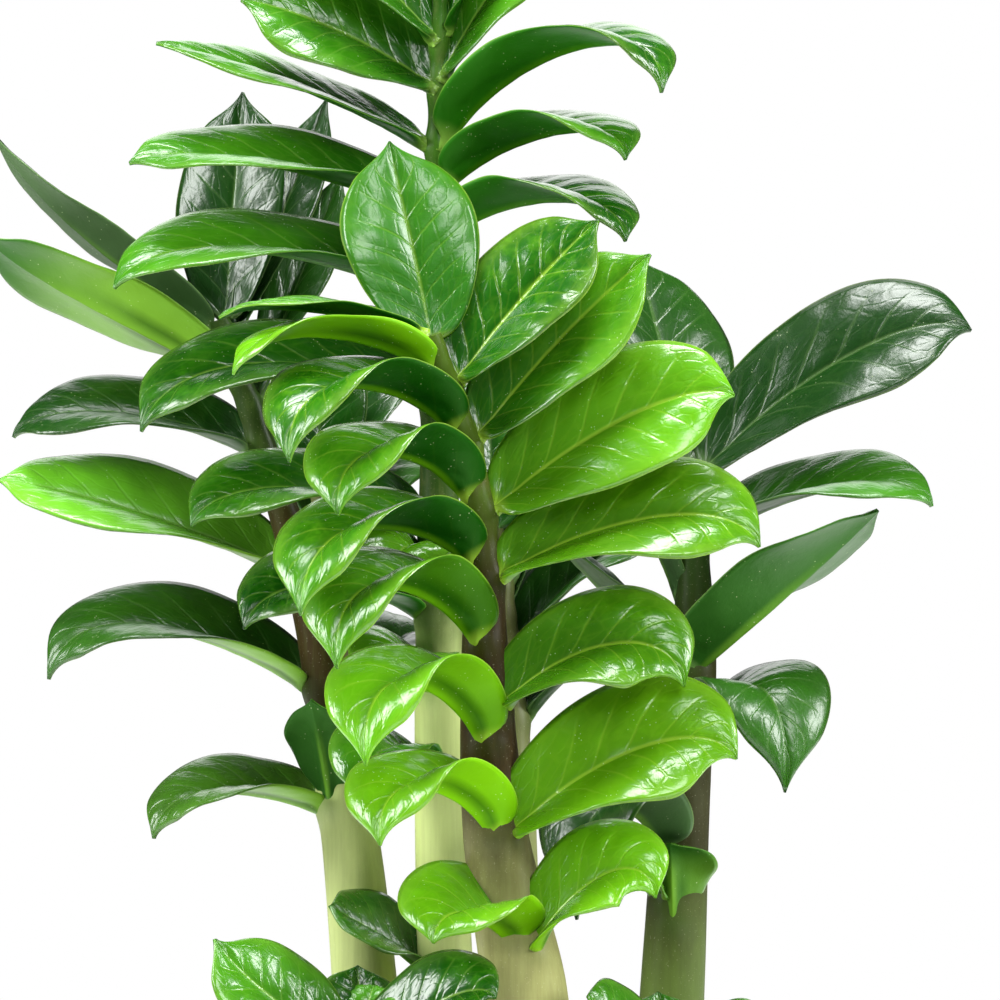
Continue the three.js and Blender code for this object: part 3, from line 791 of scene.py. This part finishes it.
    # Relief: cushions between the side veins, a groove over the midrib and a keel under it.
    rows = vein_rows(along, outward, size["Vein Pairs"], size["Vein Sweep"])
    cushion = abs((rows * math.pi).maths("SINE")) ** 1.2
    cushion = cushion * (outward * math.pi).maths("SINE").maths("MAXIMUM", 0.0)
    from_rib = across * half / GROOVE_WIDTH
    near_rib = (from_rib * from_rib * -1).maths("EXPONENT")
    length = add_node(tree, "VectorMath", {0: tip, 1: root}, operation="DISTANCE").outputs["Value"]
    spot = add_node(tree, "CombineXYZ", {0: across * half, 1: along * Field(length), 2: tone})
    crinkle = noise(tree, spot.outputs[0], CRINKLE_SCALE, 1.0) - 0.5
    crinkle = crinkle * size["Crinkle"] * rest.ramp(0.0, 0.2)
    upper = face.maths("MAXIMUM", 0.0)
    lower = (face * -1).maths("MAXIMUM", 0.0)
    from_keel = across * half / size["Keel Width"]
    near_keel = (from_keel * from_keel * -1).maths("EXPONENT") * (1 - stalk)
    thick = size["Blade Thickness"] * (1 - outward ** 3 * MARGIN_THINNING)
    roundness = (1 - outward * outward).maths("MAXIMUM", 0.0).maths("SQRT")
    round_stalk = size["Stalk Thickness"] * roundness
    thick = thick + (round_stalk - thick) * stalk
    lift = face * thick * 0.5 + crinkle
    groove = near_rib * size["Groove"] * along.ramp(0.0, 0.12)
    lift = lift + upper * (cushion * size["Cushion"] - groove)
    lift = lift - lower * near_keel * size["Keel"] * rest * rest
    skin = sum_of(
        middle,
        arrow("SCALE", side, scale=across * half * cosine - hand * sine * (dome + wave)
              - hand * tilt.maths("SINE") * lift),
        arrow("SCALE", up, scale=outward * half * sine + cosine * (dome + wave)
              + tilt.maths("COSINE") * lift),
        arrow("SCALE", heading, scale=back * -1),
    )
    blades = step(tree, "SetPosition", {"Geometry": blades, "Position": skin})
    blades = step(tree, "SetMaterial", {"Geometry": blades, "Material": given["Leaf Finish"]})

    # The stem follows its line and swells a little at each leaflet's foot.
    line = step(tree, "MeshToCurve", {"Mesh": given["Geometry"]})
    ring = step(tree, "CurvePrimitiveCircle", {"Resolution": given["Stem Sides"], "Radius": 1.0})
    stem = step(tree, "CurveToMesh", {
        "Curve": line, "Profile Curve": ring, "Scale": stored("thickness"), "Fill Caps": True,
    })
    near = add_node(tree, "GeometryNodeProximity", {0: feet}, target_element="POINTS")
    near = Field(near.outputs["Distance"]) / size["Foot Spread"]
    near_foot = (near * near * -1).maths("EXPONENT")
    stem = store(stem, "near_foot", near_foot)
    outside = add_node(tree, "GeometryNodeInputNormal").outputs[0]
    swelling = arrow("SCALE", outside, scale=near_foot * size["Foot Swelling"])
    stem = step(tree, "SetPosition", {"Geometry": stem, "Offset": swelling})
    both = tree.nodes.new("GeometryNodeJoinGeometry")
    tree.links.new(blades, both.inputs[0])
    tree.links.new(stem, both.inputs[0])
    whole = step(tree, "SetShadeSmooth", {"Geometry": both.outputs[0]})
    whole = step(tree, "RealizeInstances", {"Geometry": whole})
    is_stem = Field(stored("thickness")).maths("GREATER_THAN", 0.0)
    put(result, step(tree, "SetMaterial", {
        "Geometry": whole, "Selection": is_stem, "Material": given["Stem Finish"],
    }))
    return tree


def curve_point(points, place):
    """A point of the smooth curve through points, for a place from 0 to 1 along its stretches."""
    last = len(points) - 1
    index = min(int(place * last), last - 1)
    share = place * last - index
    here, there = points[index], points[index + 1]
    before = points[index - 1] if index else here * 2 - there
    after = points[index + 2] if index + 2 <= last else there * 2 - here
    gap_before, gap, gap_after = (
        (b - a).length ** 0.5 for a, b in ((before, here), (here, there), (there, after)))
    leave = (here - before) / gap_before - (there - before) / (gap_before + gap) + (there - here) / gap
    arrive = (there - here) / gap - (after - here) / (gap + gap_after) + (after - there) / gap_after
    leave, arrive = leave * gap, arrive * gap
    bend = 3 * (there - here) - 2 * leave - arrive
    close = 2 * (here - there) + leave + arrive
    return here + leave * share + bend * share ** 2 + close * share ** 3


HALVINGS = 30


def stem_middle(stem, height):
    """The middle of the stem at a height, all in millimetres."""
    points = [Vector(point[:3]) for point in stem]
    low, high = 0.0, 1.0
    for _ in range(HALVINGS):
        place = (low + high) / 2
        if curve_point(points, place).z < height:
            low = place
        else:
            high = place
    return curve_point(points, low)


def stem_radius(stem, height):
    for (_, _, low, low_radius), (_, _, high, high_radius) in zip(stem, stem[1:]):
        if height <= high:
            share = min(max((height - low) / (high - low), 0), 1)
            return low_radius + (high_radius - low_radius) * share
    return stem[-1][3]


def compass(angle):
    """The level direction at a compass angle: 0 is to the right, 270 to the front."""
    return Vector((math.cos(math.radians(angle)), math.sin(math.radians(angle)), 0))


def leaflet(foot, az, reach, rise, width, roll, cup, bend, hook, seat=None, age_and_shade=0.0, glow=0.0):
    """One leaflet of a table. It leaves the stem at the height foot, heads towards the compass
    angle az, arches through the three heights in rise, and has its tip reach out and bend to
    the left of its heading. hook is the share of the reach where the last stretch starts, seat
    the side of the stem that it grows from, and roll and cup turn and fold its blade. Its age
    value is 0 for a fresh blade and 1 for one that has gone dark and dull: real darkening on
    old blades, and painted shade on some younger ones. glow is how much painted light comes
    through its underside."""
    seat = az if seat is None else seat
    return {"foot": foot, "az": az, "reach": reach, "rise": rise, "width": width, "roll": roll,
            "cup": cup, "bend": bend, "hook": hook, "seat": seat, "age_and_shade": age_and_shade, "glow": glow}


def foot_values(stem, shape):
    """The guide points and sizes that a leaflet's foot carries, in metres and radians."""
    out, left = compass(shape["az"]), compass(shape["az"] + 90)
    inset = stem_radius(stem, shape["foot"]) * SEAT_SHARE
    root = stem_middle(stem, shape["foot"]) + compass(shape["seat"]) * inset

    def guide(share, height, aside):
        return (root + out * (shape["reach"] - inset) * share + left * aside
                + Vector((0, 0, height))) * MM

    rise, bend = shape["rise"], shape["bend"]
    return {
        "root": root * MM,
        "first": guide(FIRST_GUIDE, rise[0], 0),
        "second": guide(shape["hook"], rise[1], bend * BEND_BY_HOOK),
        "tip": guide(1, rise[2], bend),
        "left": left,
        "width": shape["width"] * MM,
        "roll": math.radians(shape["roll"]),
        "cup": math.radians(shape["cup"]),
        "swing": math.atan2(bend, shape["reach"]) * SWING_BY_BEND,
        "age_and_shade": shape["age_and_shade"],
        "glow": shape["glow"],
        "is_foot": 1.0,
    }


KEPT_LABELS = ("tone", "age_and_shade", "glow")


def grow(tree, name, node, stem, leaflets, leaf, skin, seed):
    """Makes a frond from its stem's points, [x, y, z, radius], and its leaflets. Of the labels
    that its points carry, the finishes read the kept ones, and the others are taken off."""
    draw = random.Random(seed)
    top = stem[-1][2]
    rings = math.ceil((top - STEM_FOOT) / STEM_RING_GAP)
    heights = [STEM_FOOT + (top - STEM_FOOT) * ring / rings for ring in range(rings + 1)]
    line = [stem_middle(stem, height) * MM for height in heights]
    feet = [foot_values(stem, shape) | {"tone": draw.random()} for shape in leaflets]
    mesh = bpy.data.meshes.new(name)
    mesh.from_pydata(line + [foot["root"] for foot in feet], [(i, i + 1) for i in range(rings)], [])
    rows = [{"thickness": stem_radius(stem, height) * MM} for height in heights] + feet
    labels = {"thickness": 0.0} | feet[0]
    for label, value in labels.items():
        if isinstance(value, Vector):
            kind, key, nothing = "FLOAT_VECTOR", "vector", (0, 0, 0)
        else:
            kind, key, nothing = "FLOAT", "value", 0.0
        column = mesh.attributes.new(label, kind, "POINT").data
        for spot, values in zip(column, rows):
            setattr(spot, key, values.get(label, nothing))
    sizes = BLADE_SIZES | STEM_SIZES | {"Leaf Finish": leaf, "Stem Finish": skin}
    frond = made_by(tree, set_down(name, mesh), name, sizes)
    for label in labels:
        if label not in KEPT_LABELS and label in frond.data.attributes:
            frond.data.attributes.remove(frond.data.attributes[label])
    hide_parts(node)
    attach(frond, "root")


frond_maker = frond_tree()
young_leaf = leaf_finish(
    "young leaf", upper="4a8e10", shade="165004", base="62a41a", under="093f01",
    under_base="80c60a", aged_and_shaded="1c5a08", aged_and_shaded_under="0e4202", rib="a4c83c", margin="9cc444",
    wrinkle=0.35)
grown_leaf = leaf_finish(
    "grown leaf", upper="42860f", shade="0f4404", base="4a9414", under="1c5c06",
    under_base="5c980c", aged_and_shaded="154a08", aged_and_shaded_under="2f441c", rib="8cb448", margin="8cb448",
    wrinkle=0.5)
old_leaf = leaf_finish(
    "old leaf", upper="5ab41e", shade="185406", base="3f8410", under="1f4c10",
    under_base="7cb030", aged_and_shaded="082c03", aged_and_shaded_under="43573a", rib="7c9f58", margin="7b9850",
    wrinkle=0.7)

# Front frond. The youngest one, bright green, with its leaflets packed close and curled over
# on the left, and broad open ones on the right. It stands in front of all but the low ones.
front_stem = [
    [4, -27, STEM_FOOT, 7.2], [5, -28, 115, 9.6], [2.4, -28, 148, 8.9], [-0.6, -28, 164, 7.8],
    [-3.2, -28.5, 178, 6.9], [-4.6, -29, 194, 6.2], [-5.6, -29.5, 218, 4.9],
    [-5.8, -30, 238, 3.4], [-8.8, -31, 260, 2.5], [-16.5, -33, 284, 1.7],
]
front_leaflets = [
    leaflet(158, 208, 29, [5, 12, 2], 31, -12, 75, 6, 0.9, 275, glow=0.6),
    leaflet(180, 200, 35, [12, 19, 1], 28, 0, 74, 12, 1, 275, glow=0.7),
    leaflet(199, 203, 37, [15, 24, -1], 29, 0, 74, 14, 1, 265, glow=0.45),
    leaflet(220, 203, 41, [14, 23, -2], 29, 0, 74, 14, 1, 255, glow=0.12),
    leaflet(237, 200, 46, [10, 16, -8], 28, 0, 70, 16, 0.95, 225),
    leaflet(250, 203, 37, [12, 17, -1], 27, 0, 70, 14, 1, 220),
    leaflet(264, 200, 43, [12, 18, -4], 26, 0, 66, 14, 1, 220),
    leaflet(277, 192, 45, [8, 13, 0], 20, 5, 60, 6, 0.9, glow=0.7),
    leaflet(284, 186, 44, [5, 9, 4], 15, 0, 40, 0, 0.85),
    leaflet(155, 345, 33, [13, 27, 13], 24, 50, 58, 0, 0.9, 295, glow=0.8),
    leaflet(179, 350, 53, [14, 30, 18], 31, 56, 48, 0, 0.85, 300, glow=0.8),
    leaflet(206, 348, 43, [12, 23, 6], 26, 50, 50, 0, 0.92, 310, glow=0.3),
    leaflet(233, 350, 58, [10, 22, 8], 28, 46, 50, 0, 0.88, 320, glow=0.5),
    leaflet(247, 352, 53, [12, 30, 25], 30, 64, 30, 0, 0.8, glow=0.4),
    leaflet(262, 355, 38, [12, 30, 39], 27, 60, 35, 0, 0.7),
    leaflet(274, 358, 31, [10, 26, 34], 27, 52, 40, 0, 0.7),
    leaflet(281, 140, 13, [14, 30, 43], 29, -40, 22, 0, 0.75, age_and_shade=0.9),
]
front_skin = stem_finish(
    "front stem skin", low="a6a86a", high="2a2008", tip="4f6c1a", mottle="463412",
    foot="2a3c08", change_low=138, change_high=196)
grow(frond_maker, "front_frond", "frond_front", front_stem, front_leaflets,
     young_leaf, front_skin, seed=11)

# Tall frond. Right behind the front one and the highest of all: mid green, with long narrow
# leaflets that arch out to the left and a few that arch over on the right.
tall_stem = [
    [-11, 6, STEM_FOOT, 5.4], [-13, 6, 120, 6.4], [-14.7, 6, 158, 5.8], [-15.3, 6, 205, 5.5],
    [-15.6, 6, 280, 3.3], [-15.6, 5, 335, 1.9], [-15, 4, 360, 1.3],
]
tall_leaflets = [
    leaflet(146, 205, 27, [5, 12, 15], 24, -30, 45, 0, 0.85, age_and_shade=0.4),
    leaflet(186, 212, 22, [8, 14, -3], 24, -10, 50, 6, 1),
    leaflet(206, 228, 22, [7, 13, 1], 25, -12, 55, 4, 0.9, 245, glow=1),
    leaflet(230, 230, 20, [7, 12, 1], 24, -12, 55, 4, 0.9, 245, glow=1),
    leaflet(222, 200, 45, [8, 12, -1], 24, -24, 50, 4, 0.9),
    leaflet(242, 198, 56, [8, 13, 1], 25, -24, 50, 5, 0.9),
    # The small age values on these long leaflets paint shade on them.
    leaflet(268, 196, 66, [9, 15, -5], 26, -24, 50, 5, 0.9, age_and_shade=0.15),
    leaflet(290, 195, 71, [9, 18, 3], 27, -20, 50, 4, 0.88, age_and_shade=0.2),
    leaflet(307, 193, 67, [10, 17, 12], 26, -20, 50, 4, 0.85, age_and_shade=0.2),
    leaflet(322, 190, 60, [9, 20, 22], 22, -16, 20, 0, 0.8),
    leaflet(334, 190, 43, [8, 18, 19], 28, -50, 35, 0, 0.75, 250),
    leaflet(344, 185, 34, [10, 24, 30], 24, -40, 35, 0, 0.75, 250),
    leaflet(304, 338, 46, [8, 12, -1], 25, 0, 58, -9, 0.95),
    leaflet(314, 338, 46, [10, 18, 6], 25, 0, 60, -9, 0.95),
    leaflet(322, 340, 54, [20, 32, 12], 26, 0, 62, -9, 1, 290),
    leaflet(336, 350, 26, [12, 30, 33], 25, 50, 35, 0, 0.75, 290),
    leaflet(346, 340, 16, [10, 20, 30], 20, 40, 35, 0, 0.75),
    leaflet(357, 100, 6, [10, 20, 26], 18, 0, 25, 0, 0.75),
]
tall_skin = stem_finish(
    "tall stem skin", low="bccb80", high="2c4d12", tip="2a5a0e", mottle="7b7f4c",
    foot="4c7c1c", change_low=206, change_high=232)
grow(frond_maker, "tall_frond", "frond_tall", tall_stem, tall_leaflets,
     grown_leaf, tall_skin, seed=12)

# Left frond. An older, darker one that leans out to the left. Its long lower blades arch out
# on that side, and those near its tip stand up.
left_stem = [
    [-28, 12, STEM_FOOT, 6.2], [-30, 13, 118, 7.6], [-33.8, 14, 164, 6.5],
    [-36, 15, 181, 6.0], [-42.4, 17, 219, 4.4], [-52, 20, 252, 3.0], [-63, 22, 284, 2.0],
]
left_leaflets = [
    leaflet(179, 188, 42, [4, 10, -5], 25, -12, 50, 5, 0.95, age_and_shade=0.6, glow=0.8),
    leaflet(181, 240, 13, [7, 17, 23], 17, 10, 25, 0, 0.75, 235, age_and_shade=0.1),
    leaflet(205, 185, 60, [10, 25, 3], 27, -22, 55, 4, 0.92, age_and_shade=0.95, glow=0.8),
    leaflet(230, 182, 65, [8, 20, 20], 29, -30, 48, 0, 0.85, age_and_shade=0.1, glow=0.75),
    leaflet(256, 181, 54, [7, 13, 3], 27, -22, 40, 0, 0.88, age_and_shade=0.9),
    leaflet(272, 180, 55, [8, 19, 31], 29, 34, 25, 0, 0.8, glow=0.8),
    leaflet(281, 174, 50, [10, 20, 43], 17, 36, 45, 0, 0.7, age_and_shade=1),
    leaflet(282, 65, 10, [16, 36, 51], 27, 0, 20, 0, 0.75, age_and_shade=1),
    leaflet(266, 40, 26, [16, 34, 50], 14, 40, 68, 0, 0.7, age_and_shade=1),
    leaflet(279, 45, 30, [16, 34, 53], 14, 40, 68, 0, 0.7, age_and_shade=1),
]
left_skin = stem_finish(
    "left stem skin", low="b6c47c", high="382c12", tip="22360e", mottle="5b6a34",
    foot="3f6a1c", change_low=182, change_high=200)
grow(frond_maker, "left_frond", "frond_left", left_stem, left_leaflets,
     old_leaf, left_skin, seed=13)

# Right frond. The oldest, on a stem that darkens upwards. Most of its leaflets are very dark
# and crinkled, and the top one is long and broad.
right_stem = [
    [32, 9, STEM_FOOT, 6.4], [33.5, 9, 118, 7.4], [35, 9, 148, 6.8], [37, 9, 186, 5.8],
    [39.5, 10, 213, 4.4], [38, 11, 254, 2.2],
]
right_leaflets = [
    leaflet(250, 352, 60, [18, 40, 33], 31, 50, 35, 0, 0.8, age_and_shade=1),
    leaflet(238, 345, 52, [9, 19, 8], 26, 18, 42, 0, 0.9, age_and_shade=0.7),
    leaflet(210, 352, 44, [6, 26, 35], 35, -22, 50, 0, 0.8, 240, age_and_shade=0.05),
    leaflet(199, 330, 27, [9, 17, -13], 30, 5, 36, -8, 1, age_and_shade=0.95),
    leaflet(171, 207, 30, [12, 22, -12], 31, 0, 50, 6, 1, 238, age_and_shade=0.9),
    leaflet(156, 262, 12, [7, 16, 18], 20, 0, 48, 0, 0.85, age_and_shade=0.0, glow=0.3),
    leaflet(160, 150, 8, [7, 14, 16], 18, -10, 40, 0, 0.8, 245, age_and_shade=0.1, glow=0.6),
    leaflet(209, 168, 40, [12, 28, 38], 20, 10, 45, 0, 0.8, age_and_shade=1),
    leaflet(224, 150, 22, [12, 24, 33], 20, 20, 45, 0, 0.8, age_and_shade=1),
    leaflet(252, 118, 24, [16, 37, 45], 36, 10, 20, 0, 0.75, age_and_shade=1),
]
right_skin = stem_finish(
    "right stem skin", low="607636", high="2c2c10", tip="243a10", mottle="3c3f22",
    foot="3a5a1c", change_low=128, change_high=172)
grow(frond_maker, "right_frond", "frond_right", right_stem, right_leaflets,
     old_leaf, right_skin, seed=14)

# Low fronds. Two short ones at the front, one on each side, with pale green stems and a few
# mid green leaflets that open just above the pot's rim.
low_left_stem = [[-24, -30, STEM_FOOT, 4.2], [-27, -34, 112, 4.6], [-33, -40, 136, 2.8]]
low_left_leaflets = [
    leaflet(124, 170, 26, [8, 17, 22], 25, -52, 35, 0, 0.8),
    leaflet(128, 100, 9, [10, 20, 24], 22, 20, 25, 0, 0.75),
    leaflet(132, 190, 30, [9, 18, 28], 25, -50, 28, 0, 0.8),
    leaflet(134, 345, 30, [8, 20, 14], 24, 40, 40, 0, 0.9),
    leaflet(134, 60, 8, [8, 14, 14], 16, 0, 30, 0, 0.75),
]
low_right_stem = [[24, -26, STEM_FOOT, 3.8], [28, -32, 112, 4.2], [33, -37, 126, 2.6]]
low_right_leaflets = [
    leaflet(117, 320, 24, [10, 20, 12], 20, 20, 40, 0, 0.85),
    leaflet(123, 205, 18, [10, 24, 25], 24, -45, 35, 0, 0.8),
    leaflet(124, 350, 20, [10, 20, 18], 20, 30, 35, 0, 0.8),
    leaflet(124, 100, 10, [10, 18, 22], 19, 0, 25, 0, 0.75),
]
low_skin = stem_finish(
    "low stem skin", low="98a85a", high="7d9440", tip="6c9c2c", mottle="6c7a3c",
    foot="6c9c2c", change_low=120, change_high=140)
grow(frond_maker, "low_left_frond", "frond_low_left", low_left_stem, low_left_leaflets,
     grown_leaf, low_skin, seed=15)
grow(frond_maker, "low_right_frond", "frond_low_right", low_right_stem,
     low_right_leaflets, grown_leaf, low_skin, seed=16)

# Rear fronds. Two older ones at the back, with leaflets in pairs: each pair is a step higher,
# shorter and steeper than the last, and one upright leaflet ends the frond.
REAR_WIDTH = 23
REAR_LENGTHS = [46, 28]
REAR_CLIMBS = [6, 30]
REAR_ARCH = 16
REAR_ROLL = 15
REAR_CUP = 45
PAIR_AGE = 0.8


def rear_leaflets(stem, lowest, pairs, gap, left_az, right_az):
    """The pairs from the lowest one up, a gap apart, and the leaflet at the stem's top."""
    leaflets = []
    for pair in range(pairs):
        share = pair / (pairs - 1)
        foot = lowest + pair * gap
        length = REAR_LENGTHS[0] + (REAR_LENGTHS[1] - REAR_LENGTHS[0]) * share
        climb = REAR_CLIMBS[0] + (REAR_CLIMBS[1] - REAR_CLIMBS[0]) * share
        rise = [12, climb * 0.6 + REAR_ARCH, climb]
        for height, az, roll in ((foot, left_az, -REAR_ROLL), (foot + gap / 2, right_az, REAR_ROLL)):
            leaflets.append(leaflet(
                height, az, length, rise, REAR_WIDTH, roll, REAR_CUP, 0, 0.85, age_and_shade=PAIR_AGE))
    top = stem[-1][2]
    leaflets.append(leaflet(top - 2, 100, 9, [12, 26, 38], 22, 0, 25, 0, 0.75, age_and_shade=0.6))
    return leaflets


rear_left_stem = [
    [-24, 30, STEM_FOOT, 5.0], [-31, 38, 116, 5.6], [-35, 44, 181, 4.6], [-39, 48, 219, 3.4],
    [-42, 51, 246, 2.0],
]
rear_right_stem = [
    [2, 32, STEM_FOOT, 4.6], [2, 36, 116, 5.0], [1, 43, 176, 4.2], [-2, 48, 216, 3.2],
    [-4, 51, 236, 2.0],
]
rear_left_leaflets = rear_leaflets(
    rear_left_stem, lowest=190, pairs=4, gap=15, left_az=95, right_az=62)
rear_right_leaflets = rear_leaflets(
    rear_right_stem, lowest=172, pairs=4, gap=15, left_az=84, right_az=15)
rear_skin = stem_finish(
    "rear stem skin", low="87905a", high="5d6038", tip="3a5a1c", mottle="4c4a32",
    foot="3a5a1c", change_low=150, change_high=220)
grow(frond_maker, "rear_left_frond", "frond_rear_left", rear_left_stem,
     rear_left_leaflets, old_leaf, rear_skin, seed=17)
grow(frond_maker, "rear_right_frond", "frond_rear_right", rear_right_stem,
     rear_right_leaflets, old_leaf, rear_skin, seed=18)
